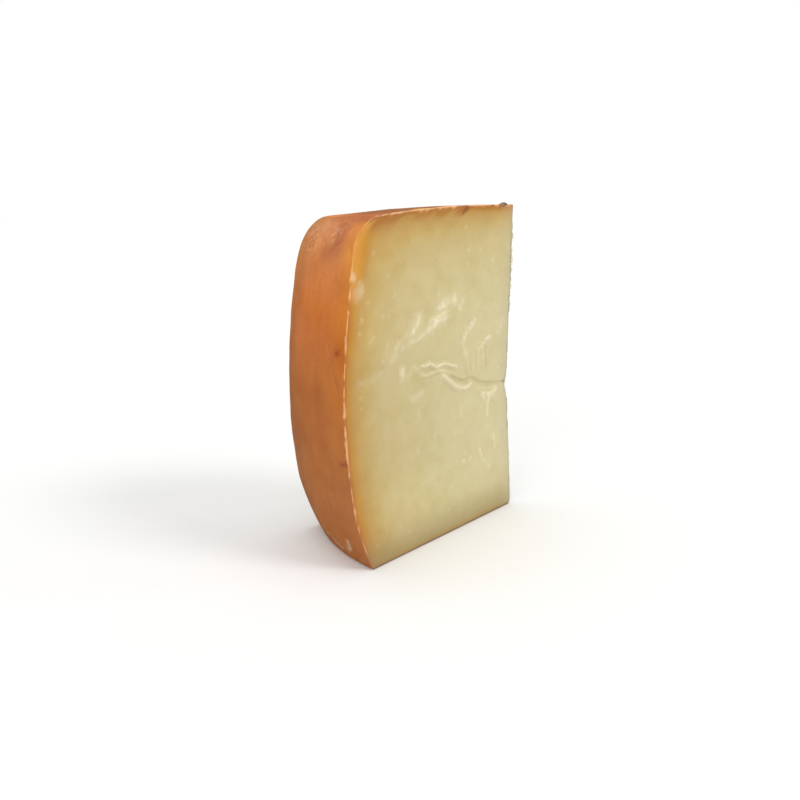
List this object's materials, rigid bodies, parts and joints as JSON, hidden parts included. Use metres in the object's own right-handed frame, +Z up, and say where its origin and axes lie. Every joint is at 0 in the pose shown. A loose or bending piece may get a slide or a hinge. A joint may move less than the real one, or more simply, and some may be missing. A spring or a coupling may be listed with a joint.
{
  "type": "smoked graviera cheese wedge",
  "caption": "Tall wedge of smoked graviera cheese with a rounded orange-brown rind and a flat pale cut, sealed tight in clear film; stands on its base.",
  "frame": {"origin": "on the resting plane, under the middle of the part's box", "axes": "+Z up along the wheel's axis, +X from the rind towards the thin tip, +Y across the wedge from the near cut to the far cut"},
  "size_m": [0.086, 0.052, 0.1162],
  "materials": {
    "cheese": "pale ivory cheese paste with an orange-brown smoked rind, satin",
    "film": "clear vacuum film, glossy, with fine creases"
  },
  "bodies": {
    "root": {"graviera_wedge": "cheese"}
  },
  "joints": []
}
